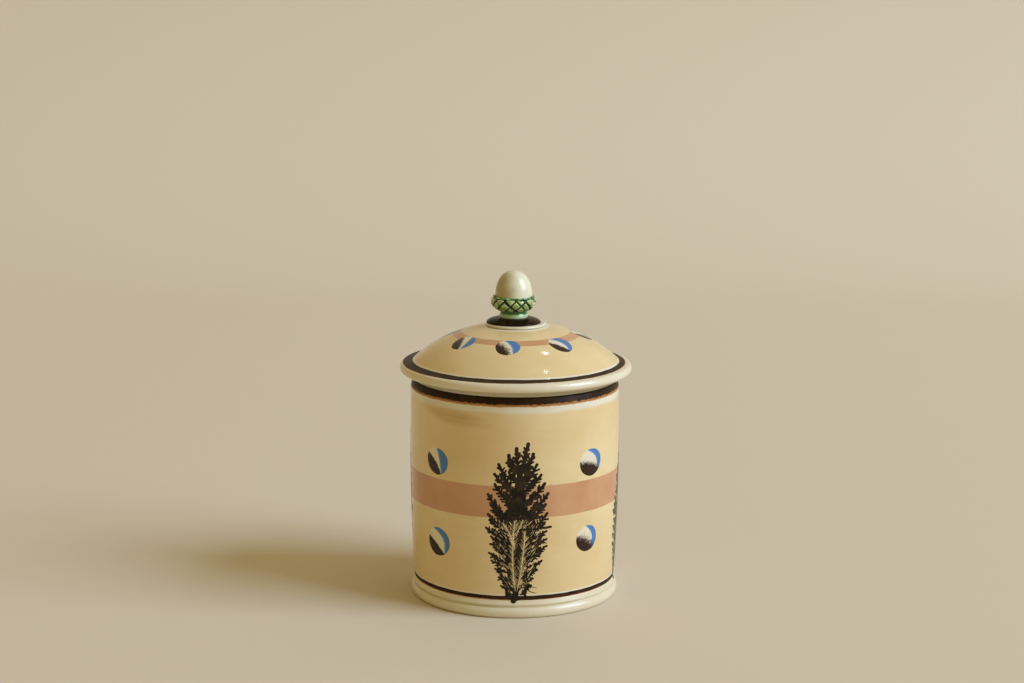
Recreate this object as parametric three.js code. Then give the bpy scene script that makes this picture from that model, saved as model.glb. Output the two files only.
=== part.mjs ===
// Lidded earthenware canister with slip bands and an acorn knob.
// Millimetres, +Z up. The origin is the middle of the face that the foot stands on.
// The jar and the lid are the two loose pieces: the lid's flange drops inside the jar's rim.
// Each colour of slip is a ring of its own clay, laid in a shallow bed turned in the wall.

import * as THREE from 'three';

// Jar
const jarHeight = 115.5;
const bellyRadius = 55.05;
const bellyHeight = 82;
const footTaper = 2.05;
const shoulderDrop = 1.1;
const shoulderHeight = 6;
const wallThickness = 4.8;
const floorThickness = 7;
const insideCornerRadius = 7;
const lipRadius = 0.8;

// Foot: a rounded bead that stands out from the wall, a groove and a flared band above it, and
// a hollow turned in the underside
const footHeight = 9.4;
const footFlare = 1.7;
const beadHeight = 5.8;
const beadUndercut = 2.2;
const grooveDepth = 0.5;
const grooveWidth = 1.6;
const footBandInset = 0.8;
const recessDepth = 2.2;
const footRingWidth = 7.5;

// Slip bands on the jar, from the foot up; the upper field takes the height that is left
const slipDepth = 0.8;
const footLineWidth = 2.3;
const lowerFieldHeight = 41.5;
const jarTerracottaWidth = 16.8;
const rimBandWidth = 4.2;

// Lid, with heights counted from its seat on the jar's rim
const lidOverhang = 7.3;
const lidEdgeOverhang = 0.4;
const rollTopHeight = 7.9;
const rollWidth = 2.4;
const rollUpperHeight = 2.8;
const rollLowerHeight = 2.1;
const creaseInset = 0.8;
const creaseDrop = 0.5;
const rimLineWidth = 4.3;
const rimLineRise = 0.9;
const knobLandRise = 18.5;
const domeBeyondFoot = 12;
const lidThickness = 4.8;
const flangeDepth = 8.5;
const flangeThickness = 3.6;
const flangeChamfer = 1;

// Slip bands on the lid
const lidTerracottaRadius = 30.9;
const lidTerracottaWidth = 4.8;

// Knob: a disc, a low domed seat, the acorn's cup on its collar, and the nut
const discRadius = 15.7;
const discHeight = 1.6;
const seatInset = 1.4;
const seatHeight = 2.8;
const seatTopRadius = 8.6;
const collarRadius = 7.55;
const neckRadius = 6.95;
const collarHeight = 2.5;
const cupRadius = 11.65;
const cupLowerHeight = 6.2;
const cupUpperHeight = 7.3;
const cupWaistAboveCollar = 5.6;
const cupLipAboveWaist = 3.1;
const nutRadius = 9.65;
const nutHeight = 14;
const nutSeatDepth = 0.8;
const nutFullness = 2.3;
const lozengesAround = 12;
const lozengeRows = 1.875;
const latticeTurn = -10;
const cutDepth = 0.55;

// Fits
const slipSeam = 0.05;
const lidSeatGap = 0.3;
const flangeClearance = 0.9;
const nutClearance = 0.3;

// Facets
const jarSides = 48;
const knobSides = 36;
const cutPitch = 8;

const finishes = {
  cream: { color: 0xe3dac0, roughness: 0.18 },
  buff: { color: 0xd8c08e, roughness: 0.18 },
  terracotta: { color: 0xbd8c68, roughness: 0.2 },
  brown: { color: 0x3b2a20, roughness: 0.2 },
  green: { color: 0x6f9a48, roughness: 0.15 },
};

const canister = new THREE.Group();

function addMesh(name, finish, geometry) {
  const { color, roughness } = finishes[finish];
  const material = new THREE.MeshStandardMaterial({ color, roughness, metalness: 0 });
  const mesh = new THREE.Mesh(geometry, material);
  mesh.name = name;
  canister.add(mesh);
}

// A solid of revolution about Z. The profile is a list of [radius, height], run so that the
// clay is on its left: up the outside and back down the inside.
function addTurned(name, finish, profile, sides) {
  const points = profile.map(([radius, height]) => new THREE.Vector2(radius, height));
  const geometry = new THREE.LatheGeometry(points, sides);
  geometry.rotateX(Math.PI / 2);
  addMesh(name, finish, geometry);
}

// A ring of clay: the same profile, closed on itself.
function addRing(name, finish, profile, sides) {
  addTurned(name, finish, [...profile, profile[0]], sides);
}

// Evenly spaced values from one end to the other, both ends included.
function spread(from, to, steps) {
  return Array.from({ length: steps + 1 }, (_, i) => from + ((to - from) * i) / steps);
}

// Part of an ellipse about (radius, height), with half-axes across and up; angles in degrees,
// 0 pointing outwards and 90 up.
function arc(radius, height, across, up, fromDegrees, toDegrees, steps) {
  return spread(fromDegrees, toDegrees, steps).map((degrees) => {
    const angle = THREE.MathUtils.degToRad(degrees);
    return [radius + across * Math.cos(angle), height + up * Math.sin(angle)];
  });
}

// Jar wall: a shallow parabola that is widest at the belly, turned in over the last few
// millimetres under the rim.
const wallCurve = footTaper / (bellyHeight - footHeight) ** 2;
const shoulderStart = jarHeight - shoulderHeight;

function barrelRadius(height) {
  return bellyRadius - wallCurve * (height - bellyHeight) ** 2;
}

function wallRadius(height) {
  const intoShoulder = Math.max(0, height - shoulderStart) / shoulderHeight;
  return barrelRadius(height) - shoulderDrop * intoShoulder ** 2;
}

const insideRimRadius = barrelRadius(jarHeight) - wallThickness;
const rimRadius = wallRadius(jarHeight);

// Slip bands of the jar, as heights from the foot up; the last one also covers the outer
// rounding of the lip
const footLineTop = footHeight + footLineWidth;
const terracottaBottom = footLineTop + lowerFieldHeight;
const terracottaTop = terracottaBottom + jarTerracottaWidth;
const rimBandBottom = jarHeight - rimBandWidth;
const lipStart = jarHeight - lipRadius;
const outerLip = arc(rimRadius - lipRadius, lipStart, lipRadius, lipRadius, 0, 90, 3).slice(1);
const jarBands = [
  { name: 'jar_foot_line', finish: 'brown', bottom: footHeight, top: footLineTop, steps: 1 },
  { name: 'jar_lower_field', finish: 'buff', bottom: footLineTop, top: terracottaBottom, steps: 2 },
  { name: 'jar_terracotta_band', finish: 'terracotta', bottom: terracottaBottom, top: terracottaTop, steps: 1 },
  { name: 'jar_upper_field', finish: 'buff', bottom: terracottaTop, top: rimBandBottom, steps: 4 },
  { name: 'jar_rim_band', finish: 'brown', bottom: rimBandBottom, top: lipStart, steps: 2, over: outerLip },
];

for (const { name, finish, bottom, top, steps, over = [] } of jarBands) {
  const wall = spread(bottom, top, steps).map((height) => [wallRadius(height), height]);
  const inside = wall.map(([radius, height]) => [radius - slipDepth, height]).reverse();
  addRing(name, finish, [...wall, ...over, ...inside], jarSides);
}

// Jar body: underside, foot, the bed that holds the slip, rim, and the hollow
const bedHeights = jarBands.flatMap(({ bottom, top, steps }) => spread(bottom, top, steps).slice(0, -1));
const bed = [...bedHeights, lipStart].map((height) => [wallRadius(height) - slipDepth - slipSeam, height]);
const footRadius = wallRadius(footHeight) + footFlare;
const beadFootRadius = footRadius - beadUndercut;
const footBandRadius = footRadius - footBandInset;
const recessRadius = beadFootRadius - footRingWidth;
const insideFloorRadius = barrelRadius(floorThickness + insideCornerRadius) - wallThickness;
addTurned('jar_body', 'cream', [
  [0, recessDepth],
  [recessRadius - recessDepth, recessDepth],
  [recessRadius, 0],
  [beadFootRadius, 0],
  ...arc(beadFootRadius, beadHeight / 2, beadUndercut, beadHeight / 2, -60, 60, 4),
  [footBandRadius - grooveDepth, beadHeight],
  [footBandRadius, beadHeight + grooveWidth / 2],
  [footBandRadius, (beadHeight + footHeight) / 2],
  [wallRadius(footHeight), footHeight],
  ...bed,
  [rimRadius - lipRadius - slipSeam, jarHeight],
  ...arc(insideRimRadius + lipRadius, lipStart, lipRadius, lipRadius, 90, 180, 2),
  ...spread(jarHeight - 2 * lipRadius, floorThickness + insideCornerRadius, 3)
    .map((height) => [barrelRadius(height) - wallThickness, height]),
  ...arc(insideFloorRadius - insideCornerRadius, floorThickness + insideCornerRadius,
    insideCornerRadius, insideCornerRadius, 0, -90, 4).slice(1),
  [0, floorThickness],
], jarSides);

// Lid outline: the dome stands on the inner edge of the rim line, and the line lies on a nearly
// flat ledge between the dome and the rolled rim. The dome is part of an ellipsoid, a little
// steeper at its foot than a sphere, whose half-width is larger than the dome's foot.
const seatLevel = jarHeight + lidSeatGap;
const lidRadius = rimRadius + lidOverhang;
const rollCentreRadius = lidRadius - rollWidth;
const rollTop = seatLevel + rollTopHeight;
const ledgeTop = rollTop + rimLineRise;
const domeFootRadius = rollCentreRadius - rimLineWidth;
const domeHalfWidth = domeFootRadius + domeBeyondFoot;

function domeShare(radius, halfWidth) {
  return Math.sqrt(1 - (radius / halfWidth) ** 2);
}

const landShare = domeShare(discRadius, domeHalfWidth);
const footShare = domeShare(domeFootRadius, domeHalfWidth);
const domeHalfHeight = knobLandRise / (landShare - footShare);
const domeCentre = ledgeTop - domeHalfHeight * footShare;

function domeHeight(radius) {
  return domeCentre + domeHalfHeight * domeShare(radius, domeHalfWidth);
}

// Slip bands of the lid, as radii from the rim in
const lidTerracottaOuter = lidTerracottaRadius + lidTerracottaWidth / 2;
const lidTerracottaInner = lidTerracottaRadius - lidTerracottaWidth / 2;
const lidBands = [
  { name: 'lid_outer_field', finish: 'buff', outer: domeFootRadius, inner: lidTerracottaOuter, steps: 3 },
  { name: 'lid_terracotta_band', finish: 'terracotta', outer: lidTerracottaOuter, inner: lidTerracottaInner, steps: 1 },
  { name: 'lid_inner_field', finish: 'buff', outer: lidTerracottaInner, inner: discRadius + slipSeam, steps: 2 },
];

for (const { name, finish, outer, inner, steps } of lidBands) {
  const over = spread(outer, inner, steps).map((radius) => [radius, domeHeight(radius)]);
  const under = over.map(([radius, height]) => [radius, height - slipDepth]).reverse();
  addRing(name, finish, [...over, ...under], jarSides);
}

const rimLineOuter = rollCentreRadius - slipSeam;
addRing('lid_rim_line', 'brown', [
  [rimLineOuter, rollTop],
  [domeFootRadius, ledgeTop],
  [domeFootRadius, ledgeTop - slipDepth],
  [rimLineOuter, rollTop - slipDepth],
], jarSides);

// Lid body: flange and underside, rolled rim, the bed for the slip, the land for the knob
const domeBed = lidBands
  .flatMap(({ outer, inner, steps }) => spread(outer, inner, steps).slice(0, -1))
  .map((radius) => [radius, domeHeight(radius) - slipDepth - slipSeam]);
const knobLevel = domeHeight(discRadius);
const flangeRadius = insideRimRadius - flangeClearance;
const flangeInside = flangeRadius - flangeThickness;
const flangeBottom = seatLevel - flangeDepth;
const hollowHalfWidth = domeHalfWidth - lidThickness;
const hollowHalfHeight = domeHalfHeight - lidThickness;
const hollow = spread(0, flangeInside, 5)
  .map((radius) => [radius, domeCentre + hollowHalfHeight * domeShare(radius, hollowHalfWidth)]);
const lidEdgeRadius = rimRadius + lidEdgeOverhang;
const creaseRadius = rollCentreRadius - creaseInset;
const creaseHeight = rollTop - rollUpperHeight - rollLowerHeight - creaseDrop;
addTurned('lid_body', 'cream', [
  ...hollow,
  [flangeInside, flangeBottom + flangeChamfer],
  [flangeInside + flangeChamfer, flangeBottom],
  [flangeRadius - flangeChamfer, flangeBottom],
  [flangeRadius, flangeBottom + flangeChamfer],
  [flangeRadius, seatLevel],
  [lidEdgeRadius, seatLevel],
  [creaseRadius, creaseHeight],
  ...arc(rollCentreRadius, rollTop - rollUpperHeight, rollWidth, rollLowerHeight, -90, 0, 3),
  ...arc(rollCentreRadius, rollTop - rollUpperHeight, rollWidth, rollUpperHeight, 0, 90, 4).slice(1),
  [rollCentreRadius, rollTop - slipDepth - slipSeam],
  [domeFootRadius, ledgeTop - slipDepth - slipSeam],
  ...domeBed,
  [discRadius, knobLevel - slipDepth - slipSeam],
  [discRadius, knobLevel],
  [0, knobLevel],
], jarSides);

// Knob disc and seat
const discTop = knobLevel + discHeight;
const seatRadius = discRadius - seatInset;
const seatTop = discTop + seatHeight;
const discEdge = discHeight / 2;
addTurned('knob_disc', 'cream', [
  [0, knobLevel],
  ...arc(discRadius - discEdge, knobLevel + discEdge, discEdge, discEdge, -90, 90, 4),
  [0, discTop],
], knobSides);

// The seat is an ellipse in section, cut off flat where the collar stands.
const seatCurveHeight = seatHeight / Math.sqrt(1 - (seatTopRadius / seatRadius) ** 2);
const seatCut = THREE.MathUtils.radToDeg(Math.acos(seatTopRadius / seatRadius));
addTurned('knob_seat', 'brown', [
  [0, discTop],
  ...arc(0, discTop, seatRadius, seatCurveHeight, 0, seatCut, 4),
  [0, seatTop],
], knobSides);

// Acorn cup: a collar and neck, then two half-ellipses that meet at the waist. Diagonal cuts
// cross all round it and leave raised lozenges. A cut runs through each vertex of the grid
// where the column and the row, added or subtracted, make a whole number of pitches. The lattice
// is turned so that a crossing lies a little to the right of the front.
const collarTop = seatTop + collarHeight;
const waistHeight = collarTop + cupWaistAboveCollar;
const lipHeight = waistHeight + cupLipAboveWaist;
const recessFloor = lipHeight - nutSeatDepth;
const cupSides = lozengesAround * cutPitch;
const lowestCut = -THREE.MathUtils.radToDeg(Math.acos(neckRadius / cupRadius));
const highestCut = THREE.MathUtils.radToDeg(Math.asin(cupLipAboveWaist / cupUpperHeight));
const cutRows = Math.round(lozengeRows * cutPitch);
const carved = spread(lowestCut, highestCut, cutRows).map((degrees) => {
  const up = degrees < 0 ? cupLowerHeight : cupUpperHeight;
  return arc(0, waistHeight, cupRadius, up, degrees, degrees, 1)[0];
});
const nutRecessRadius = nutRadius + nutClearance;
const cupRings = [
  [collarRadius, seatTop],
  [collarRadius, seatTop + collarHeight / 3],
  [neckRadius, collarTop],
  ...carved,
  [nutRecessRadius, lipHeight],
  [nutRecessRadius, recessFloor],
];
const firstCarved = cupRings.length - carved.length - 2;

function carvedDepth(column, ring) {
  const row = ring - firstCarved;
  const inLattice = row > 0 && row < cutRows;
  const onCut = (column + row) % cutPitch === 0 || (column - row + cutRows * cutPitch) % cutPitch === 0;
  return inLattice && onCut ? cutDepth : 0;
}

// Joins rings of vertices into one closed skin, with a vertex on the axis at each end. Each
// square of the grid is split along the diagonal that lies deeper, so a cut stays open.
function ringedGeometry(rings, sides, inset) {
  const positions = [0, 0, rings[0][1]];
  rings.forEach(([radius, height], ring) => {
    for (let column = 0; column < sides; column += 1) {
      const angle = (2 * Math.PI * column) / sides + THREE.MathUtils.degToRad(latticeTurn);
      const cutRadius = radius - inset(column, ring);
      positions.push(cutRadius * Math.cos(angle), cutRadius * Math.sin(angle), height);
    }
  });
  positions.push(0, 0, rings[rings.length - 1][1]);
  const last = positions.length / 3 - 1;
  const triangles = [];
  for (let column = 0; column < sides; column += 1) {
    const next = (column + 1) % sides;
    triangles.push(0, 1 + next, 1 + column);
    for (let ring = 0; ring < rings.length - 1; ring += 1) {
      const low = 1 + ring * sides;
      const high = low + sides;
      const alongCut = inset(column, ring) + inset(next, ring + 1);
      const acrossCut = inset(next, ring) + inset(column, ring + 1);
      if (alongCut >= acrossCut) {
        triangles.push(low + column, low + next, high + next);
        triangles.push(low + column, high + next, high + column);
      } else {
        triangles.push(low + column, low + next, high + column);
        triangles.push(low + next, high + next, high + column);
      }
    }
    const rim = 1 + (rings.length - 1) * sides;
    triangles.push(last, rim + column, rim + next);
  }
  const geometry = new THREE.BufferGeometry();
  geometry.setAttribute('position', new THREE.Float32BufferAttribute(positions, 3));
  geometry.setIndex(triangles);
  return geometry;
}

addMesh('acorn_cup', 'green', ringedGeometry(cupRings, cupSides, carvedDepth));

// Acorn nut: a superellipse in section, which stands in the cup's recess
const nutOutline = spread(0, 90, 9).slice(0, -1).map((degrees) => {
  const angle = THREE.MathUtils.degToRad(degrees);
  return [
    nutRadius * Math.cos(angle) ** (2 / nutFullness),
    recessFloor + nutHeight * Math.sin(angle) ** (2 / nutFullness),
  ];
});
addTurned('acorn_nut', 'cream', [
  [0, recessFloor],
  ...nutOutline,
  [0, recessFloor + nutHeight],
], knobSides);

export default canister;
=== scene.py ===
"""A glazed earthenware canister: a thrown jar and lid with slip bands, drops and branching
figures under a clear glaze, and a knob made as an acorn. Sizes are in millimetres until a mesh
is made; +Z is up, and the decorated front faces -Y."""

import bpy
import numpy as np
from mathutils import Matrix, Vector


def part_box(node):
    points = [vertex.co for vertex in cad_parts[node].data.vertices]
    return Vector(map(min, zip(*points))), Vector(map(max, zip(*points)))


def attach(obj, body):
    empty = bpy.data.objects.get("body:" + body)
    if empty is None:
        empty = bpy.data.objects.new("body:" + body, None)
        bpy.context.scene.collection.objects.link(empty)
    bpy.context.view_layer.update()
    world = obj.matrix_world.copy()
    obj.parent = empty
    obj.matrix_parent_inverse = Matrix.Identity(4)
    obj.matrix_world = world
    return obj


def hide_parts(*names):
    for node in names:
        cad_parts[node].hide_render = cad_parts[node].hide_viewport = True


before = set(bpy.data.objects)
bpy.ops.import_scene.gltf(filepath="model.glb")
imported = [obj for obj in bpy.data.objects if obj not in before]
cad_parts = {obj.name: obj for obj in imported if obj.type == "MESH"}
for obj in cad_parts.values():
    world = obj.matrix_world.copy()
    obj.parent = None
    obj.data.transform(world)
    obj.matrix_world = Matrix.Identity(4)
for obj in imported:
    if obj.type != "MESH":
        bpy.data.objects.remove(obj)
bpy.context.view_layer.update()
MM = 0.001

# The photograph's view
# A long lens a little above the lid looks down on the front, with a slight lean to one side.

camera_place = (-1.6, -1147.1, 351.2)
camera_pitch = 90 - 10.71
camera_lean = 0.257
lens_length = 78.25

camera_data = bpy.data.cameras.new("view")
camera_data.lens = lens_length
camera_data.sensor_width = 36
camera = bpy.data.objects.new("view", camera_data)
camera.matrix_world = (
    Matrix.Translation(Vector(camera_place) * MM)
    @ Matrix.Rotation(np.radians(camera_pitch), 4, "X")
    @ Matrix.Rotation(np.radians(camera_lean), 4, "Z")
)
bpy.context.scene.collection.objects.link(camera)
bpy.context.scene.camera = camera
bpy.context.scene.view_settings.view_transform = "Standard"

# Floor and backdrop
# One pale sheet runs from the table up into a wall, as in a studio. It isn't part of the object.

floor_front = -1500
floor_bend = 900
wall_height = 2600
bend_radius = 500
sheet_width = 5200
sheet_tone = "d8ccb5"
sheet_roughness = 0.85
sheet_specular = 0.2
sharp_angle = 40


def linear(hex_colour):
    """The linear RGBA of an sRGB hex colour: each channel is scaled to 0..1, and its display
    curve is undone."""
    channels = np.array([int(hex_colour[i : i + 2], 16) for i in (0, 2, 4)]) / 255
    low, high = channels / 12.92, ((channels + 0.055) / 1.055) ** 2.4
    return (*np.where(channels <= 0.04045, low, high).tolist(), 1.0)


def new_material(name):
    """An empty material with a Principled shader wired to its output."""
    material = bpy.data.materials.new(name)
    material.use_nodes = True
    return material


def set_shader(material, settings):
    """Gives inputs of a material's Principled shader a value, or the output that feeds them."""
    inputs = material.node_tree.nodes["Principled BSDF"].inputs
    for key, value in settings.items():
        if isinstance(value, bpy.types.NodeSocket):
            material.node_tree.links.new(value, inputs[key])
        else:
            inputs[key].default_value = value


def new_piece(name, vertices, faces, material, shift=(0, 0, 0)):
    """A mesh object at the origin from vertices in millimetres, smooth where it curves and with
    sharp edges where two faces meet at a larger angle. The shift moves all its vertices."""
    mesh = bpy.data.meshes.new(name)
    mesh.from_pydata(((np.asarray(vertices, float) + shift) * MM).tolist(), [], faces)
    mesh.shade_smooth()
    mesh.set_sharp_from_angle(angle=np.radians(sharp_angle))
    mesh.materials.append(material)
    piece = bpy.data.objects.new(name, mesh)
    bpy.context.scene.collection.objects.link(piece)
    return piece


def grid_faces(rows, columns):
    """Quads between neighbours of an open grid whose vertices are numbered row by row."""
    low = np.arange(rows - 1)[:, None] * columns + np.arange(columns - 1)
    return np.stack([low, low + 1, low + columns + 1, low + columns], -1).reshape(-1, 4).tolist()


# Plain matt paper.
paper = new_material("matt_backdrop_paper")
paper_settings = {"Roughness": sheet_roughness, "Specular IOR Level": sheet_specular}
set_shader(paper, {"Base Color": linear(sheet_tone), **paper_settings})

bend = np.radians(np.linspace(-90, 0, 33))
bend_y = floor_bend + bend_radius * np.cos(bend)
bend_z = bend_radius + bend_radius * np.sin(bend)
sheet_x = np.array([-sheet_width / 2, sheet_width / 2])
sheet_y = np.concatenate([[floor_front], bend_y, [floor_bend + bend_radius]])[:, None]
sheet_z = np.concatenate([[0], bend_z, [wall_height]])[:, None]
sheet = np.stack(np.broadcast_arrays(sheet_x, sheet_y, sheet_z), -1)
backdrop = new_piece("backdrop", sheet.reshape(-1, 3), grid_faces(len(sheet_y), 2), paper)

# Light
# A broad soft window on the right, a little in front of the jar, gives cool daylight. The room
# gives a warmer light from all round, and two small skylights put glints on the lid's glaze.

room_tone = "ffe59a"
room_strength = 0.42
lamp_target = (0, 0, 90)
lamps = {
    "window": {"place": (7560, -2610, 4680), "size": (5220, 6480), "power": 1063, "tone": "cfe0ff"},
    "skylight_left": {"place": (480, 960, 1915), "size": (60, 85), "power": 0.5, "tone": "ffffff"},
    "skylight_right": {"place": (700, 103, 2290), "size": (60, 85), "power": 0.5, "tone": "ffffff"},
}

room = bpy.data.worlds.new("room")
room.use_nodes = True
room_background = room.node_tree.nodes["Background"]
room_background.inputs["Color"].default_value = linear(room_tone)
room_background.inputs["Strength"].default_value = room_strength
bpy.context.scene.world = room

for lamp_name, lamp in lamps.items():
    lamp_data = bpy.data.lights.new(lamp_name, "AREA")
    lamp_data.shape = "RECTANGLE"
    lamp_data.size, lamp_data.size_y = (length * MM for length in lamp["size"])
    lamp_data.energy = lamp["power"]
    lamp_data.color = linear(lamp["tone"])[:3]
    lamp_object = bpy.data.objects.new(lamp_name, lamp_data)
    lamp_place = Vector(lamp["place"]) * MM
    aim = (Vector(lamp_target) * MM - lamp_place).to_track_quat("-Z", "Y")
    lamp_object.matrix_world = Matrix.Translation(lamp_place) @ aim.to_matrix().to_4x4()
    bpy.context.scene.collection.objects.link(lamp_object)

# Jar
# The body is thrown in one piece from cream earthenware, and its foot, beds for the slip and rim
# are turned when it is leather-hard. Clear glaze covers it inside and out, except where it stands.

sides = 288
azimuths = np.linspace(0, 2 * np.pi, sides, endpoint=False) + np.pi / 2
hub_radius = 0.5
belly_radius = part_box("jar_upper_field")[1].x / MM
belly_height = 82
foot_line_low, foot_line_high = (corner.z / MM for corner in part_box("jar_foot_line"))
jar_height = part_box("jar_body")[1].z / MM
foot_line_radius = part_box("jar_foot_line")[1].x / MM
foot_radius = 54.7
shoulder_drop = 1.1
shoulder_height = 6
slip_depth = 0.8
bed_gap = 0.05
wall_thickness = 4.8
floor_thickness = 7
inside_corner = 7
lip_radius = 0.8
recess_depth = 2.2
recess_round = 1
foot_ring_width = 7.5
foot_ring_round = 0.6
bare_height = 0.12
bead_height = 5.8
bead_undercut = 2.2
groove_above_bead = 0.2
groove_depth, groove_half_height = 0.55, 0.8
foot_band_inset = 0.8
foot_band_top = 7.3
foot_band_round = (0.6, 0.7)
bed_step = 0.1
throwing_ring_depth = 0.12
throwing_ring_pitch = 6.5
throwing_ring_margin, throwing_ring_fade = 14, 12
wander_waves = (
    # size, waves in a turn, phase, and rise in which the phase turns by a radian
    (0.06, 2, -0.6, 90),
    (0.035, 3, 1.1, -60),
)
cream_tone = "e0d6ba"
cream_shade_tone = "d8ccaa"
pooled_tone = "c4b88c"
pool_half_height = 0.7
speck_tone = "a08a5c"
bare_clay_tone = "d9c9a6"
glaze_ior = 1.52
gloss_patch, ripple_length, fray_length = 22.22, 7.143, 1.111
gloss_span, fray_levels = (0.75, 1.3), (0.3, 0.7)

wall_curve = (belly_radius - foot_line_radius) / (belly_height - foot_line_high) ** 2


def barrel_radius(height):
    """A parabola in height that is widest at the belly."""
    return belly_radius - wall_curve * (height - belly_height) ** 2


def wall_radius(height):
    """The barrel, drawn in by a square law over the last few millimetres under the rim."""
    into_shoulder = np.maximum(0, height - (jar_height - shoulder_height)) / shoulder_height
    return barrel_radius(height) - shoulder_drop * into_shoulder**2


def arc(radius, height, across, up, start, stop, steps):
    """Points on part of an ellipse about (radius, height), with half-axes across and up. Angles
    are in degrees from outwards, turning up."""
    angle = np.radians(np.linspace(start, stop, steps))
    return np.stack([radius + across * np.cos(angle), height + up * np.sin(angle)], -1)


def joined(*runs):
    """One run of points from several, put end to end. A single point is given as a pair."""
    return np.concatenate([np.atleast_2d(run) for run in runs])


def along(points, spacing):
    """The points of a polyline with more put in evenly on each straight run, so that none is
    longer than the spacing."""
    points = np.asarray(points, float)
    runs = []
    for start, stop in zip(points[:-1], points[1:]):
        count = max(1, int(np.ceil(np.linalg.norm(stop - start) / spacing)))
        runs.append(start + (stop - start) * np.linspace(0, 1, count, endpoint=False)[:, None])
    return np.concatenate([*runs, points[-1:]])


def hand_wander(azimuth, height):
    """How far a thrown wall strays from round: slow cosine waves round it that turn with height."""
    return sum(
        size * np.cos(turns * azimuth + phase + height / twist)
        for size, turns, phase, twist in wander_waves
    )


def all_round(profile):
    """The same profile, repeated for every column."""
    return np.repeat(profile[:, None], sides, axis=1)


def turned_points(profile):
    """Carries a profile round the axis, and lets the radius wander. Its rows are (radius, height),
    or have such a pair for every column."""
    if profile.ndim == 2:
        profile = all_round(profile)
    radius, height = profile[..., 0], profile[..., 1]
    reach = radius + hand_wander(azimuths, height) * np.clip(radius / 10, 0, 1)
    return np.stack([reach * np.cos(azimuths), reach * np.sin(azimuths), height], -1)


def round_faces(rows, columns, ring=False):
    """Quads round every step of a profile. A ring's profile closes on itself. Any other one is
    closed at each end by a fan of triangles to one more vertex, the first end's first."""
    low = np.arange(rows if ring else rows - 1)[:, None] * columns
    high = (low + columns) % (rows * columns)
    here, there = np.arange(columns), (np.arange(columns) + 1) % columns
    quads = np.stack([low + here, low + there, high + there, high + here], -1).reshape(-1, 4).tolist()
    if ring:
        return quads
    first_end, last_end = rows * columns, rows * columns + 1
    last = (rows - 1) * columns
    first_fan = np.stack([np.full(columns, first_end), there, here], -1).tolist()
    last_fan = np.stack([np.full(columns, last_end), last + here, last + there], -1).tolist()
    return quads + first_fan + last_fan


def round_piece(name, points, material, shift=(0, 0, 0)):
    """A closed piece from a round grid of points, row by row, whose first and last row each get
    a fan of triangles to their middle."""
    vertices = np.concatenate([points.reshape(-1, 3), [points[0].mean(0), points[-1].mean(0)]])
    return new_piece(name, vertices, round_faces(*points.shape[:2]), material, shift)


def turned_piece(name, profile, material, shift=(0, 0, 0)):
    """A solid of revolution whose profile starts and ends beside the axis, and runs with the clay
    on its left."""
    return round_piece(name, turned_points(np.asarray(profile, float)), material, shift)


def add_node(material, kind, settings=(), links=()):
    """Adds a node of one kind. A setting names a property of the node or one of its inputs, and
    a link names an input and the output that feeds it."""
    node = material.node_tree.nodes.new(kind)
    for key, value in dict(settings).items():
        if isinstance(key, str) and hasattr(node, key):
            setattr(node, key, value)
        else:
            node.inputs[key].default_value = value
    for key, output in dict(links).items():
        material.node_tree.links.new(output, node.inputs[key])
    return node


def per_metre(size):
    """How often a size in millimetres goes into a metre, which is how a noise takes its scale."""
    return 1 / (size * MM)


def clouded(material, size, low, high, detail=4):
    """A factor that drifts from 0 to 1 over cloudy patches: noise whose patches have a given size
    in millimetres, stretched between two of its levels."""
    place = add_node(material, "ShaderNodeTexCoord").outputs["Object"]
    patches = {"Scale": per_metre(size), "Detail": detail}
    cloud = add_node(material, "ShaderNodeTexNoise", patches, {"Vector": place})
    limits = {"From Min": low, "From Max": high}
    stretched = add_node(material, "ShaderNodeMapRange", limits, {"Value": cloud.outputs["Fac"]})
    return stretched.outputs["Result"]


def marked(material, name, low, high, fray=0.0, fray_size=fray_length):
    """A factor from one of the mesh's own attributes, from 0 at one value to 1 at another. Fray
    moves the limits to and fro by up to half that much, with noise of a given size."""
    value = add_node(material, "ShaderNodeAttribute", {"attribute_name": name}).outputs["Fac"]
    if fray:
        noise = clouded(material, fray_size, *fray_levels, detail=3)
        times_fray = {"operation": "MULTIPLY_ADD", 1: fray}
        value = add_node(material, "ShaderNodeMath", times_fray, {0: noise, 2: value}).outputs[0]
        low, high = low + fray / 2, high + fray / 2
    limits = {"From Min": low, "From Max": high, "interpolation_type": "SMOOTHSTEP"}
    return add_node(material, "ShaderNodeMapRange", limits, {"Value": value}).outputs["Result"]


def painted(material, tone, *layers):
    """A tone with others laid over it in turn. A layer has the size of its patches and their two
    levels, or the name of a mark, its two values and any fray, or else an output alone. The last
    entry is the layer's own tone. A tone is a hex colour or an output."""
    for pattern, *limits, over in layers:
        if isinstance(pattern, str):
            pattern = marked(material, pattern, *limits)
        elif limits:
            pattern = clouded(material, pattern, *limits)
        fixed, fed = {"data_type": "RGBA"}, {0: pattern}
        for index, value in ((6, tone), (7, over)):
            if isinstance(value, str):
                fixed[index] = linear(value)
            else:
                fed[index] = value
        tone = add_node(material, "ShaderNodeMix", fixed, fed).outputs[2]
    return tone


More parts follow.
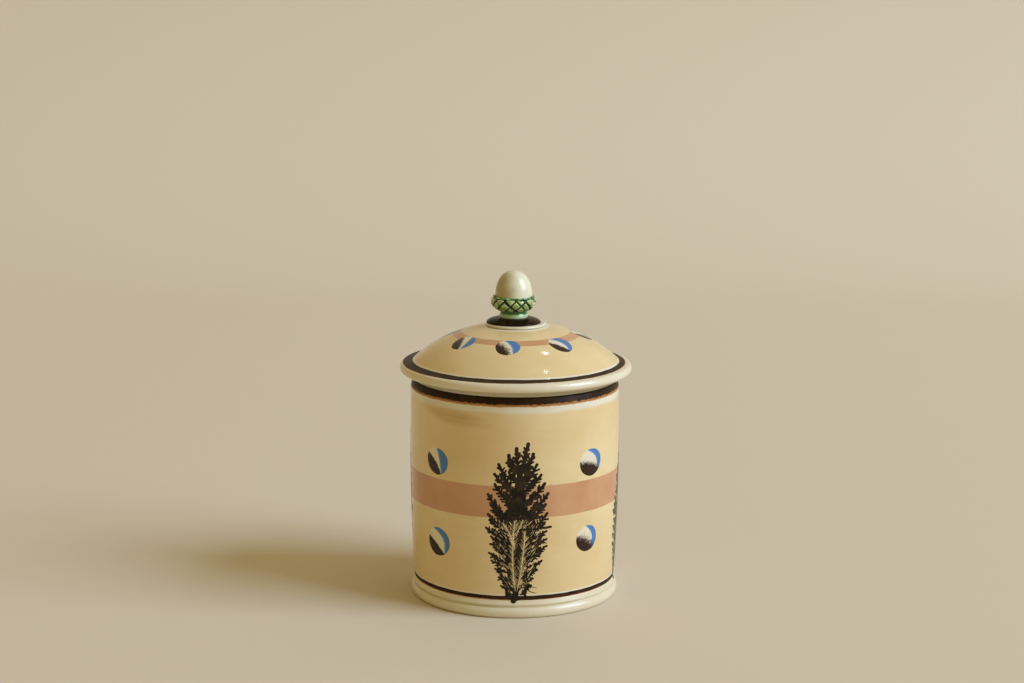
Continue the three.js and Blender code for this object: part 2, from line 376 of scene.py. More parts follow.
def glaze_over(material, colour, roughness=0.1, specular=0.5, ripple=0.008):
    """Finishes a material as clear glossy glaze over what the colour output gives: gloss that
    varies a little from place to place, and the faint ripple of a flowed glass. Returns the
    output that gives the roughness."""
    place = add_node(material, "ShaderNodeTexCoord").outputs["Object"]
    patches = {"Scale": per_metre(gloss_patch), "Detail": 3}
    cloud = add_node(material, "ShaderNodeTexNoise", patches, {"Vector": place})
    span = {"To Min": roughness * gloss_span[0], "To Max": roughness * gloss_span[1]}
    gloss = add_node(material, "ShaderNodeMapRange", span, {"Value": cloud.outputs["Fac"]})
    waves = {"Scale": per_metre(ripple_length), "Detail": 2}
    wave = add_node(material, "ShaderNodeTexNoise", waves, {"Vector": place})
    strength = {"Strength": ripple, "Distance": MM}
    bump = add_node(material, "ShaderNodeBump", strength, {"Height": wave.outputs["Fac"]})
    fed = {"Base Color": colour, "Roughness": gloss.outputs["Result"], "Normal": bump.outputs["Normal"]}
    set_shader(material, {**fed, "Specular IOR Level": specular, "IOR": glaze_ior})
    return gloss.outputs["Result"]


def set_mark(piece, name, values, at_ends=()):
    """Stores one number for each vertex of a piece, the middles of its two ends last."""
    attribute = piece.data.attributes.new(name, "FLOAT", "POINT")
    attribute.data.foreach_set("value", np.append(values, at_ends).astype(np.float32))


# Clear lead glaze over cream earthenware: glossy, with a faint straw tint where it lies thick,
# and a few specks of iron. The ring that the jar stands on is wiped bare, and is matt.
specks = (2.381, 0.73, 0.79, speck_tone)
cream_glaze = new_material("clear_glaze_on_creamware")
bare = marked(cream_glaze, "bare", 0.3, 0.7)
cream_colour = painted(
    cream_glaze,
    cream_tone,
    ("pooled_glaze_and_painted_shade", 0, 1, pooled_tone),
    (33.33, 0.35, 0.75, cream_shade_tone),
    specks,
    (bare, bare_clay_tone),
)
gloss = glaze_over(cream_glaze, cream_colour, roughness=0.24)
rougher = add_node(cream_glaze, "ShaderNodeMath", {"operation": "MAXIMUM"}, {0: gloss, 1: bare})
set_shader(cream_glaze, {"Roughness": rougher.outputs[0]})

bead_foot = foot_radius - bead_undercut
recess_radius = bead_foot - foot_ring_width
recess_flat = recess_radius - recess_depth - recess_round
foot_band = foot_radius - foot_band_inset
groove_height = bead_height + groove_above_bead
inside_rim = barrel_radius(jar_height) - wall_thickness
rim_radius = wall_radius(jar_height)
inside_floor = barrel_radius(floor_thickness + inside_corner) - wall_thickness

underside = joined(
    (hub_radius, recess_depth),
    (recess_flat, recess_depth),
    arc(recess_flat, recess_depth - recess_round, recess_round, recess_round, 90, 45, 4),
    arc(recess_radius + foot_ring_round, *[foot_ring_round] * 3, 225, 270, 4),
)
foot_outline = joined(
    arc(bead_foot, bead_height / 2, bead_undercut, bead_height / 2, -90, 62, 20),
    arc(foot_band, groove_height, groove_depth, groove_half_height, 200, 110, 6),
    arc(foot_band - foot_band_round[0], foot_band_top, *foot_band_round, 30, 80, 5),
    (wall_radius(foot_line_low), foot_line_low),
)
bed_heights = np.linspace(foot_line_low + bed_step, jar_height - lip_radius, 40)
bed = np.stack([wall_radius(bed_heights) - slip_depth - bed_gap, bed_heights], -1)
lip = joined(
    (rim_radius - slip_depth - bed_gap, jar_height),
    arc(inside_rim + lip_radius, jar_height - lip_radius, lip_radius, lip_radius, 90, 180, 9),
)
inside_heights = np.linspace(jar_height - 2 * lip_radius, floor_thickness + inside_corner, 150)
fade = np.clip((jar_height - throwing_ring_margin - inside_heights) / throwing_ring_fade, 0, 1)
throwing_rings = throwing_ring_depth * fade * np.sin(2 * np.pi * inside_heights / throwing_ring_pitch)
inside_radii = barrel_radius(inside_heights) - wall_thickness + throwing_rings
inside_wall = np.stack([inside_radii, inside_heights], -1)
cove_middle = (inside_floor - inside_corner, floor_thickness + inside_corner)
cove = arc(*cove_middle, inside_corner, inside_corner, 0, -90, 16)
jar_profile = joined(
    along(joined(underside, foot_outline), 1.5),
    bed,
    lip,
    inside_wall,
    along(joined(cove[1:], (hub_radius, floor_thickness)), 3),
)
jar = turned_piece("thrown_jar", jar_profile, cream_glaze)
profile_radii, profile_heights = jar_profile.T
off_groove = (profile_heights - groove_height) / pool_half_height
in_groove = np.exp(-(off_groove**2)) * (profile_radii > inside_floor)
set_mark(jar, "pooled_glaze_and_painted_shade", np.repeat(in_groove, sides), [0, 0])
on_ring = (profile_heights < bare_height) & (profile_radii > recess_radius)
set_mark(jar, "bare", np.repeat(on_ring, sides), [0, 0])
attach(jar, "jar")
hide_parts("jar_body")

# Slip bands on the jar
# Liquid clays of other colours, run on with a blowing bottle while the jar turned, and turned
# level with the wall. The last one goes over the rim's outer edge. The brown bleeds a little: an
# orange line runs below it, and a pale one on both sides.

edge_slow_wave = 0.10
edge_quick_wave = 0.035
edge_quick_turns = (7, 19, 37)
slip_rows = 40
bed_rows = 8
rim_gap = 0.03
far_off = 99
buff_tone = "e6d09e"
buff_shade_tone = "dcc086"
halo_tone = "e6dfc6"
thin_buff_tone = "b58f45"
thin_patch_azimuth, thin_patch_height = -37, 104.5
thin_patch_half_width, thin_patch_half_height = 24, 5
thin_patch_slope = 0.12
streak_size = (25, 25, 3.03)
streak_strength = 0.14
disc_halo_width = 3.0
bleed_tone = "b0773e"
terracotta_tone = "cb9a6f"
terracotta_shade_tone = "c18e62"
brown_tone = "2b1c11"
brown_thin_tone = "432d1c"


def wavy_edge(level, seed, off_centre=0.0):
    """Where a band's edge lies all round, in height or in radius: level, but for a slow wave and
    three quicker ones, as a hand-held bottle leaves it. An edge that is off centre lies further
    out towards +X by that much, and further in on the other side."""
    phase = np.random.default_rng(seed).uniform(0, 2 * np.pi, 4)
    quick = sum(np.sin(turns * azimuths + start) for turns, start in zip(edge_quick_turns, phase[1:]))
    slow = edge_slow_wave * np.sin(azimuths + phase[0]) + off_centre * np.cos(azimuths)
    return level + slow + edge_quick_wave * quick


def thin_patch(points):
    """How thin the slip is at each point: a bell curve about the middle of a slanted patch."""
    x, y, height = np.moveaxis(points, -1, 0)
    sideways = np.degrees(np.arctan2(x, -y)) - thin_patch_azimuth
    upwards = height - thin_patch_height + thin_patch_slope * sideways
    spread = (sideways / thin_patch_half_width) ** 2 + (upwards / thin_patch_half_height) ** 2
    return np.exp(-spread)


def lay_slips(rings, edges, outline, bed, body, shift=(0, 0, 0)):
    """Lays rings of slip side by side, each between two wavy edges. A ring's section runs row by
    row along the outline and back along its bed. Each point is marked with its distance from the
    first edge as a share of the bleed's width, with its distances from the edges that brown slip
    or the knob's disc touches, and with how thin the slip is."""
    face_share = np.linspace(0, 1, slip_rows)[:, None]
    bed_share = np.linspace(1, 0, bed_rows)[:, None]
    for first, last, (name, node, clay, slot, touching, bleed_width) in zip(edges, edges[1:], rings):
        run = last - first
        section = [outline(first + run * face_share), bed(first + run * bed_share)]
        points = turned_points(np.concatenate(section))
        slip = new_piece(name, points.reshape(-1, 3), round_faces(len(points), sides, True), clay, shift)
        from_first = np.concatenate([face_share, bed_share]) * np.abs(run)
        from_last = np.abs(run) - from_first
        set_mark(slip, "bleed", from_first / bleed_width)
        set_mark(slip, "above_brown", from_first + far_off * ("brown below" not in touching))
        set_mark(slip, "below_brown", from_last + far_off * ("brown above" not in touching))
        set_mark(slip, "beside_disc", (disc_halo_width - from_last) * ("disc" in touching))
        set_mark(slip, "thin", thin_patch(points))
        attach(slip, body)
        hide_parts(node)


def wall_outline(height):
    """The jar's outside, as (radius, height) for each height, rounded over at the rim."""
    into_lip = np.clip((height - (jar_height - lip_radius)) / lip_radius, 0, 1)
    return np.stack([wall_radius(height) - lip_radius * (1 - np.sqrt(1 - into_lip**2)), height], -1)


def wall_bed(height):
    """The bottom of the slip's bed in the wall, as (radius, height) for each height."""
    return np.stack([wall_radius(height) - slip_depth, height], -1)


# Buff slip under clear glaze: warm straw, a little uneven in thickness, with fine streaks from
# turning, and with the halos that the brown slip and the disc beside it leave.
buff_slip = new_material("clear_glaze_on_buff_slip")
on_piece = add_node(buff_slip, "ShaderNodeTexCoord").outputs["Object"]
squeezed = {"Scale": [per_metre(size) for size in streak_size]}
on_wheel = add_node(buff_slip, "ShaderNodeMapping", squeezed, {"Vector": on_piece})
fine = {"Scale": 1, "Detail": 3}
streaks = add_node(buff_slip, "ShaderNodeTexNoise", fine, {"Vector": on_wheel.outputs[0]})
thin = marked(buff_slip, "thin", 0.1, 0.9)
at_least = {"operation": "MAXIMUM", 1: streak_strength}
strength = add_node(buff_slip, "ShaderNodeMath", at_least, {0: thin})
both = {0: strength.outputs[0], 1: streaks.outputs["Fac"]}
streaked = add_node(buff_slip, "ShaderNodeMath", {"operation": "MULTIPLY"}, both)
buff_colour = painted(
    buff_slip,
    buff_tone,
    (45.45, 0.38, 0.72, buff_shade_tone),
    ("below_brown", 4.6, 2.4, 1.0, 16.67, halo_tone),
    ("above_brown", 1.1, 0.45, halo_tone),
    ("below_brown", 0.7, -0.1, 0.4, 2.222, bleed_tone),
    (streaked.outputs[0], thin_buff_tone),
    ("beside_disc", 0.2, 2.4, 0.4, 16.67, halo_tone),
    specks,
)
glaze_over(buff_slip, buff_colour)

# Terracotta slip under clear glaze: a soft pinkish brown, slightly mottled.
terracotta_slip = new_material("clear_glaze_on_terracotta_slip")
terracotta_mottle = (16.67, 0.35, 0.7, terracotta_shade_tone)
glaze_over(terracotta_slip, painted(terracotta_slip, terracotta_tone, terracotta_mottle))

# Dark brown slip under clear glaze: nearly black where thick, warm where it thins, and orange
# where it bleeds out at its lower edge. Its glaze is duller, because the slip drinks some of it.
brown_slip = new_material("clear_glaze_on_brown_slip")
brown_mottle = (6.25, 0.45, 0.75, brown_thin_tone)
brown_bleed = ("bleed", 1.25, 0.3, 0.7, 2.222, bleed_tone)
brown_colour = painted(brown_slip, brown_tone, brown_mottle, brown_bleed)
glaze_over(brown_slip, brown_colour, roughness=0.42, specular=0.1)

terracotta_low, terracotta_high = (corner.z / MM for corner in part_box("jar_terracotta_band"))
rim_band_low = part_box("jar_rim_band")[0].z / MM
jar_levels = (foot_line_low, foot_line_high, terracotta_low, terracotta_high, rim_band_low)
jar_edges = [wavy_edge(height, seed) for seed, height in enumerate(jar_levels)]
jar_edges.append(np.full(sides, jar_height - rim_gap))
jar_slips = (
    # name, node, material, slot, what touches it, width of the bleed
    ("foot_line", "jar_foot_line", brown_slip, "brown_slip", (), 0.4),
    ("lower_buff_field", "jar_lower_field", buff_slip, "buff_slip", ("brown below",), 1),
    ("terracotta_band", "jar_terracotta_band", terracotta_slip, "terracotta_slip", (), 1),
    ("upper_buff_field", "jar_upper_field", buff_slip, "buff_slip", ("brown above",), 1),
    ("rim_band", "jar_rim_band", brown_slip, "brown_slip", (), 1),
)
lay_slips(jar_slips, jar_edges, wall_outline, wall_bed, "jar")

# Branching figures
# A dark tea of pigment is dropped on the wet slip with the jar upside down. It creeps through
# the clay in branches, away from the drop, and so grows up from a root at the foot line. Four
# figures stand round the jar.

figure_low, figure_high = 8.4, 93.0
figure_half_width = 16.6
figure_lift, figure_bluntness = 1.05, 0.54
figure_pitch = 0.22
figure_relief = 0.04
figure_depth = 0.3
figure_margin = 4
first_figure_seed = 47
figures = (
    # name, azimuth of its root, and how far its top leans to the right
    ("front", 1.0, 1.5),
    ("right", 83.0, 13.0),
    ("back", 181, -2.0),
    ("left", 262, 3.0),
)
veined_up_to = 52.5
field_end = np.linspace([-9, 53.1], [11.5, 53.3], 24)
field_end_wander = 0.16
field_end_thickness = (0.35, 0.8)
frond_kinds = {
    # how far up its knee stands, thickness, length of its lobes, and distance between them
    "long": (0.42, 0.62, 2.5, 1.75),
    "inner": (0.4, 0.6, 2.1, 1.7),
    "crown": (0.5, 0.72, 2.3, 1.8),
    "small": (0.35, 0.46, 1.8, 1.3),
    "small inner": (0.35, 0.4, 1.1, 1.0),
    "stray": (0.5, 0.45, 0.6, 0.9),
}
knee_across = 0.55
fewest_points = 6
frond_wander = 0.12
frond_swelling = (0.75, 1.3)
frond_unevenness = (0.88, 1.12)
lobe_spread = (30, 52)
lobe_reach = np.array([0.7, 1.3])
lobe_thickness = np.array([0.75, 0.85])
barb_unevenness = (0.75, 1.15)
side_growth = {
    # Tips are heights, and a climb is in degrees at each of some heights. Out and start are shares
    # of the way to the outline and to the tip, and share is how much of the climb is taken.
    "long": {
        "first_tip": (veined_up_to + 1, veined_up_to + 3),
        "last_tip": figure_high - 8,
        "step": (4.6, 5.8),
        "climb": ((50, 56, 75, 90), (30, 48, 55, 68)),
        "scatter": 4,
        "out": (0.84, 1.03),
        "start": 0.1,
        "share": 0.83,
    },
    "small": {
        "first_tip": (12.5, 14),
        "last_tip": veined_up_to,
        "step": (3.6, 4.8),
        "climb": ((12, 36, 50), (8, 30, 20)),
        "scatter": 5,
        "out": (0.82, 1.04),
        "start": 0.4,
        "share": 0.6,
    },
}
inner_tips = np.arange(61, figure_high - 8, 5.5)
inner_out, inner_start, inner_drop = (0.35, 0.55), 0.1, (1.2, 1.8)
small_inner_tips = np.arange(14, veined_up_to, 2.6)
small_inner_out, small_inner_start, small_inner_drop = (0.6, 0.82), 0.5, 0.3
small_inner_wander = 0.5
crown_tips = ((-5.8, 86.6), (-1.6, 89.6), (3.2, figure_high - 1), (7.2, 87.0))
crown_wander = 0.6
crown_start, crown_length = 0.25, 14
upper_core_line = np.array([[0, 56], [0, 66], [0.5, 80]])
upper_core_thickness = np.linspace(5.2, 0.8, 10)
upper_core_sway, lower_core_sway = 0.6, 0.4
lower_core_heights = np.linspace(17, 50, 24)
lower_core_share = np.linspace(0.4, 0.56, 24)
root = np.array([[-4.6, 11.0], [-2.6, 11.2], [-0.6, 10.2], [1.4, 10.9], [3.6, 11.0]])
root_wander = 0.25
root_thickness = [0.4, 0.9, 1.5, 1.0, 0.5]
stem = np.array([[-1.2, 9.6], [-0.3, 12.0], [0.1, 17.0]])
stem_thickness = [1.6, 1.7, 1.5]
hair = np.array([[5, 1.5], [7.5, -1.2], [11, -1.6]])
hair_heights = (17.5, 14.6)
hair_thickness = np.linspace(0.3, 0.12, 10)
veins = (
    # start, knee and stop, number of points, and thickness at both ends
    ([-0.3, 14.5], [-3.4, 30], [-0.6, 51.5], 44, (0.15, 0.19)),
    ([0.5, 14.5], [3.4, 28], [4.8, 46], 38, (0.12, 0.25)),
    ([-1.2, 37], [-2.6, 44], [-6.5, 50.5], 18, (0.15, 0.2)),
    ([-0.6, 44], [1.0, 48], [3.4, 52], 10, (0.15, 0.22)),
)
vein_wander = 0.5
vein_barbs = ((30, 46), (1.0, 5.0), 0.125, 0.055)
scratches = 100
scratch_heights = (16, 51)
scratch_out = (0.14, 0.66)
scratch_length = (0.9, 2.6)
scratch_slope = (0.62, 0.78)
scratch_thickness = (0.115, 0.069)
stray_heights, stray_reach, stray_rise = (45, 48), (16.5, 18), (-0.4, 0.5)
foot_flare, foot_flare_low, foot_flare_high = 0.4, 6.2, 7.4
stain_tone = "17130b"
stain_thin_tone = "3b2f1e"


def outer_radius(height):
    """The jar's outside at any height, with the flared band of the foot below the foot line."""
    levels = [foot_flare_low, foot_flare_high, foot_line_low]
    foot = np.interp(height, levels, [foot_band - foot_flare, foot_band, wall_radius(foot_line_low)])
    return np.where(height < foot_line_low, foot, wall_radius(height))


def figure_reach(height):
    """Half the width of a figure at a height: a spindle, from the sine of the share of its height.
    One power puts its widest place a little above the middle, and the other blunts its ends."""
    share = np.clip((height - figure_low) / (figure_high - figure_low), 0, 1)
    return figure_half_width * np.sin(np.pi * share**figure_lift) ** figure_bluntness


def bent(start, knee, stop, count):
    """Points on a quadratic curve from start to stop that sets out towards the knee."""
    t = np.linspace(0, 1, count)[:, None]
    return (1 - t) ** 2 * np.array(start) + 2 * t * (1 - t) * np.array(knee) + t**2 * np.array(stop)


def strokes(points, thickness):
    """Rows (x0, y0, r0, x1, y1, r1) for the pieces of a polyline with a thickness at each point."""
    ends = np.concatenate([points, np.broadcast_to(thickness, len(points))[:, None]], 1)
    return np.concatenate([ends[:-1], ends[1:]], 1)


def barbs(spine, spread, reach, root, end, dice):
    """Short straight strokes that leave a polyline on both sides. Each leans forward at an angle
    and has a length, both drawn between two limits, and a thickness at its root and at its end."""
    heading = np.gradient(spine, axis=0)
    bearing = np.arctan2(heading[:, 1], heading[:, 0])
    parts = []
    for side in (-1, 1):
        way = bearing + side * np.radians(dice.uniform(*spread, len(spine)))
        length = dice.uniform(*reach, len(spine))
        tip = spine + np.stack([np.cos(way), np.sin(way)], 1) * length[:, None]
        ends = dice.uniform(*barb_unevenness, (len(spine), 1)) * end
        parts.append(np.concatenate([spine, np.full((len(spine), 1), root), tip, ends], 1))
    return np.concatenate(parts)


def frond(start, stop, kind, dice):
    """A branch that sets out nearly level, turns up and swells to a blunt tip, with short round
    lobes on both sides over its outer part, like a seaweed's."""
    rise, thickness, lobe, gap = frond_kinds[kind]
    start, stop = np.array(start, float), np.array(stop, float)
    knee = start + (stop - start) * [knee_across, rise]
    count = max(fewest_points, int(np.linalg.norm(stop - start) / gap) + 1)
    spine = bent(start, knee, stop, count)
    spine[1:-1] += dice.normal(0, frond_wander, (count - 2, 2))
    uneven = dice.uniform(*frond_unevenness, count)
    swelling = thickness * np.linspace(*frond_swelling, count) * uneven
    outer = spine[count // 4 : -2]
    lobes = barbs(outer, lobe_spread, lobe_reach * lobe, *(lobe_thickness * thickness), dice)
    return np.concatenate([strokes(spine, swelling), lobes])


def side_fronds(side, kind, dice):
    """Fronds of one kind up one side of a figure, out to its outline. Each starts lower than its
    tip by the tip's distance from the axis times a share of the tangent of its climb."""
    growth = side_growth[kind]
    tip_height = dice.uniform(*growth["first_tip"])
    while tip_height < growth["last_tip"]:
        climb = np.interp(tip_height, *growth["climb"]) + dice.normal(0, growth["scatter"])
        tip_x = side * figure_reach(tip_height) * dice.uniform(*growth["out"])
        start_height = tip_height - abs(tip_x) * growth["share"] * np.tan(np.radians(climb))
        yield frond([growth["start"] * tip_x, start_height], [tip_x, tip_height], kind, dice)
        tip_height += dice.uniform(*growth["step"])


def heavy_fronds(side, dice):
    """The fronds of one side above the lower field: long ones to the outline, and shorter ones
    that fill the middle."""
    yield from side_fronds(side, "long", dice)
    for tip_height in inner_tips:
        tip_x = side * figure_reach(tip_height) * dice.uniform(*inner_out)
        start = [inner_start * tip_x, tip_height - abs(tip_x) * dice.uniform(*inner_drop)]
        yield frond(start, [tip_x, tip_height], "inner", dice)


def slight_fronds(side, dice):
    """The smaller fronds of one side, up to the top of the lower field."""
    yield from side_fronds(side, "small", dice)
    for tip_height in small_inner_tips:
        tip_x = side * figure_reach(tip_height) * dice.uniform(*small_inner_out)
        start = [small_inner_start * tip_x, tip_height - abs(tip_x) * small_inner_drop]
        tip = [tip_x, tip_height + dice.normal(0, small_inner_wander)]
        yield frond(start, tip, "small inner", dice)


def dark_strokes(dice):
    """The dark strokes of one figure: fronds on both sides, a crown, solid cores, the root and a
    few hairs beside it."""
    for side in (-1, 1):
        yield from heavy_fronds(side, dice)
        yield from slight_fronds(side, dice)
    for crown_tip in crown_tips:
        tip = crown_tip + dice.normal(0, crown_wander, 2)
        yield frond([tip[0] * crown_start, tip[1] - crown_length], tip, "crown", dice)
    upper_core = upper_core_line + np.outer([0, *dice.normal(0, upper_core_sway, 2)], [1, 0])
    yield strokes(bent(*upper_core, len(upper_core_thickness)), upper_core_thickness)
    across = dice.normal(0, lower_core_sway, len(lower_core_heights))
    lower_core_thickness = figure_reach(lower_core_heights) * lower_core_share
    yield strokes(np.stack([across, lower_core_heights], 1), lower_core_thickness)
    yield strokes(root + dice.normal(0, root_wander, root.shape), root_thickness)
    yield strokes(stem, stem_thickness)
    hair_side = dice.choice([-1, 1])
    for hair_height in hair_heights:
        curve = hair * [hair_side, 1] + [0, hair_height]
        yield strokes(bent(*curve, len(hair_thickness)), hair_thickness)


def pale_strokes(dice):
    """The veins of one figure, where the slip is left bare: two from the root, and two that fork
    off near the top of the lower field. Fine pale barbs stand on both sides of each, and short
    scratches beside them."""
    lean = dice.normal(0, vein_wander)
    for start, knee, (stop_x, stop_height), count, thickness in veins:
        spine = bent(start, knee, [stop_x + lean, stop_height], count)
        yield strokes(spine, np.linspace(*thickness, count))
        yield barbs(spine[2:], *vein_barbs, dice)
    for side in (-1, 1):
        height = dice.uniform(*scratch_heights, scratches)
        across = side * figure_reach(height) * dice.uniform(*scratch_out, scratches)
        length = dice.uniform(*scratch_length, scratches)
        start = np.stack([across, height], 1)
        stop = start + np.outer(length, [side * scratch_slope[0], scratch_slope[1]])
        near, far = (np.full((scratches, 1), thickness) for thickness in scratch_thickness)
        yield np.concatenate([start, near, stop, far], 1)


def late_strokes(dice):
    """The dark strokes that lie over the veins: a ragged line where the lower field ends, and one
    nearly level stray branch."""
    ragged = field_end + dice.normal(0, field_end_wander, field_end.shape)
    yield strokes(ragged, dice.uniform(*field_end_thickness, len(field_end)))
    side = dice.choice([-1, 1])
    height = dice.uniform(*stray_heights)
    tip = [side * dice.uniform(*stray_reach), height + stray_rise[1]]
    yield frond([side, height + stray_rise[0]], tip, "stray", dice)


def cover(x, y, rows):
    """How deep each point of a grid lies inside a set of tapering strokes: the largest value of a
    stroke's thickness less the distance to its middle line. It is negative outside."""
    depth = np.full((len(y), len(x)), -1.0)
    for x0, y0, r0, x1, y1, r1 in np.concatenate(list(rows)):
        margin = max(r0, r1) + 1
        across = slice(*np.searchsorted(x, [min(x0, x1) - margin, max(x0, x1) + margin]))
        up = slice(*np.searchsorted(y, [min(y0, y1) - margin, max(y0, y1) + margin]))
        dx, dy = x[across] - x0, (y[up] - y0)[:, None]
        run_x, run_y = x1 - x0, y1 - y0
        t = np.clip((dx * run_x + dy * run_y) / max(run_x**2 + run_y**2, 1e-9), 0, 1)
        inside = r0 + (r1 - r0) * t - np.hypot(dx - t * run_x, dy - t * run_y)
        depth[up, across] = np.maximum(depth[up, across], inside)
    return depth


# How an outline cuts a square of the grid. The key adds 1, 2, 4 and 8 for the corners inside,
# taken anticlockwise. In the polygons, 0 to 3 are corners and 4 to 7 the cuts on the sides that
# follow them.
square_cuts = {
    1: [(0, 4, 7)],
    2: [(1, 5, 4)],
    4: [(2, 6, 5)],
    8: [(3, 7, 6)],
    3: [(0, 1, 5, 7)],
    6: [(1, 2, 6, 4)],
    12: [(2, 3, 7, 5)],
    9: [(3, 0, 4, 6)],
    5: [(0, 4, 7), (2, 6, 5)],
    10: [(1, 5, 4), (3, 7, 6)],
    7: [(0, 1, 2, 6, 7)],
    14: [(1, 2, 3, 7, 4)],
    13: [(2, 3, 0, 4, 5)],
    11: [(3, 0, 1, 5, 6)],
    15: [(0, 1, 2, 3)],
}
nearest_cut = 0.04


def cut_sheet(x, y, field):
    """The part of a grid where a field is positive, cut out as a flat sheet with two sides and an
    edge (marching squares). Returns its plane vertices, and its faces, in which each vertex of
    the upper side has its double on the lower side len(vertices) further on."""
    rows, columns = field.shape
    grid = np.stack(np.meshgrid(x, y), -1)
    places = [grid.reshape(-1, 2)]

    def crossings(near, far, numbered_from):
        """Adds the points where the field is zero between neighbours, and returns their numbers."""
        step = field[near] - field[far]
        share = field[near] / np.where(step == 0, 1, step)
        share = np.clip(share, nearest_cut, 1 - nearest_cut)[..., None]
        places.append((grid[near] + (grid[far] - grid[near]) * share).reshape(-1, 2))
        return numbered_from + np.arange(share.size).reshape(share.shape[:2])

    corner = np.arange(rows * columns).reshape(rows, columns)
    level = crossings(np.s_[:, :-1], np.s_[:, 1:], corner.size)
    upright = crossings(np.s_[:-1, :], np.s_[1:, :], corner.size + level.size)
    corners = [corner[:-1, :-1], corner[:-1, 1:], corner[1:, 1:], corner[1:, :-1]]
    square = np.stack([*corners, level[:-1], upright[:, 1:], level[1:], upright[:, :-1]], -1)
    inside = field > 0
    case = inside[:-1, :-1] + 2 * inside[:-1, 1:] + 4 * inside[1:, 1:] + 8 * inside[1:, :-1]
    polygons, rims = [], []
    for key, shapes in square_cuts.items():
        picked = square[case == key]
        for shape in shapes:
            polygons.append(picked[:, shape])
            rims += [picked[:, pair] for pair in zip(shape, shape[1:] + shape[:1]) if min(pair) > 3]
    used = np.unique(np.concatenate([polygon.ravel() for polygon in polygons]))
    vertices = np.concatenate(places)
    renumbered = np.zeros(len(vertices), int)
    renumbered[used] = np.arange(len(used))
    faces = []
    for polygon in polygons:
        faces += renumbered[polygon].tolist()
        faces += (renumbered[polygon[:, ::-1]] + len(used)).tolist()
    start, stop = renumbered[np.concatenate(rims)].T
    faces += np.stack([stop, start, start + len(used), stop + len(used)], -1).tolist()
    return vertices[used], faces


def on_cylinder(radius, angle, height):
    """Points from cylinder coordinates about the jar's axis."""
    return np.stack([radius * np.cos(angle), radius * np.sin(angle), height], -1)


# Dark pigment stained into the slip, under the same clear glaze: brownish black, browner where
# it is thin.
stain = new_material("clear_glaze_on_pigment_stain")
stain_colour = painted(stain, stain_tone, (3.333, 0.42, 0.75, stain_thin_tone))
glaze_over(stain, stain_colour, roughness=0.2, specular=0.2)

half_sheet = figure_half_width + figure_margin
figure_x = np.arange(-half_sheet, half_sheet, figure_pitch)
figure_y = np.arange(figure_low - figure_margin, figure_high + figure_margin, figure_pitch)
for seed, (side_name, figure_azimuth, lean) in enumerate(figures, first_figure_seed):
    dice = np.random.default_rng(seed)
    dark = cover(figure_x, figure_y, dark_strokes(dice))
    pale = cover(figure_x, figure_y, pale_strokes(dice))
    over = cover(figure_x, figure_y, late_strokes(dice))
    flat, faces = cut_sheet(figure_x, figure_y, np.maximum(np.minimum(dark, -pale), over))
    across, height = flat.T
    leaning = across + lean * (height - figure_low) / (figure_high - figure_low)
    angle = np.radians(figure_azimuth - 90) + leaning / belly_radius
    wall = outer_radius(height) + hand_wander(angle, height)
    two_sides = [on_cylinder(wall + lift, angle, height) for lift in (figure_relief, -figure_depth)]
    figure = new_piece(f"branching_figure_{side_name}", np.concatenate(two_sides), faces, stain)
    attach(figure, "jar")

# Drops of slip on the jar
# Three clays, brown, white and blue, run together from one three-barrelled bottle, so that each
# drop is an eye with a dark side, a pale middle and a blue side. Eight stand on the jar, two
# between each pair of figures.

drop_rings = 28
drop_steps = 96
drop_relief = 0.12
drop_depth = 0.3
drop_hub = 0.03
drop_waves = ((0.018, 2), (0.012, 3), (0.006, 7))
jar_drop_seed = 60
eye_brown_tone = "301d12"
eye_white_tone = "e2d6b9"
eye_blue_tone = "4d79a9"
eye_blue_thin_tone = "6a94bd"
jar_drops = (
    # azimuth from the front, height, half-width, half-height, then the dark and the blue part:
    # bearing, distance of its edge from the middle, bow of the edge, and width of the feathering
    (-46.2, 79, 7.8, 6.9, (-141, 0.14, -0.22, 0.5), (12, 0.25, 0.08, 0.5)),
    (45.3, 79, 7.9, 7.0, (-109, 0.12, -0.25, 1.5), (17, 0.53, 0.6, 0.4)),
    (-46.0, 36.3, 8.0, 7.4, (-129, 0.24, -0.12, 0.4), (27, 0.48, 0.48, 0.5)),
    (43.5, 38.8, 7.1, 7.0, (-120, 0.14, -0.28, 2.2), (7, 0.5, 0.6, 0.4)),
    (133, 78.6, 7.6, 7.0, (-140, 0.25, 0, 0.8), (20, 0.3, 0.1, 0.4)),
    (134.5, 37.6, 7.4, 7.1, (-118, 0.15, -0.2, 1.4), (12, 0.5, 0.3, 0.4)),
    (226, 79.3, 7.8, 7.0, (-128, 0.3, -0.1, 0.4), (28, 0.2, 0.1, 0.4)),
    (225, 37.2, 7.5, 7.2, (-146, 0.2, -0.1, 0.9), (6, 0.45, 0.3, 0.4)),
)


def wall_place(azimuth, middle_height):
    """A function that puts points on the jar's wall, from distances across and up from the middle
    of a drop and a lift off the wall."""

    def place(across, up, lift):
        height = middle_height + up
        angle = np.radians(azimuth - 90) + across / wall_radius(middle_height)
        return on_cylinder(wall_radius(height) + hand_wander(angle, height) + lift, angle, height)

    return place


def beyond(x, y, bearing, distance, bow, feather):
    """How far points lie beyond a bowed line across a drop, in widths of its feathering. The line
    stands square to the bearing at a distance from the middle, and its bow is a parabola."""
    way = np.radians(bearing)
    ahead, sideways = x * np.cos(way) + y * np.sin(way), x * np.sin(way) - y * np.cos(way)
    return (ahead - distance + bow * sideways**2) / feather


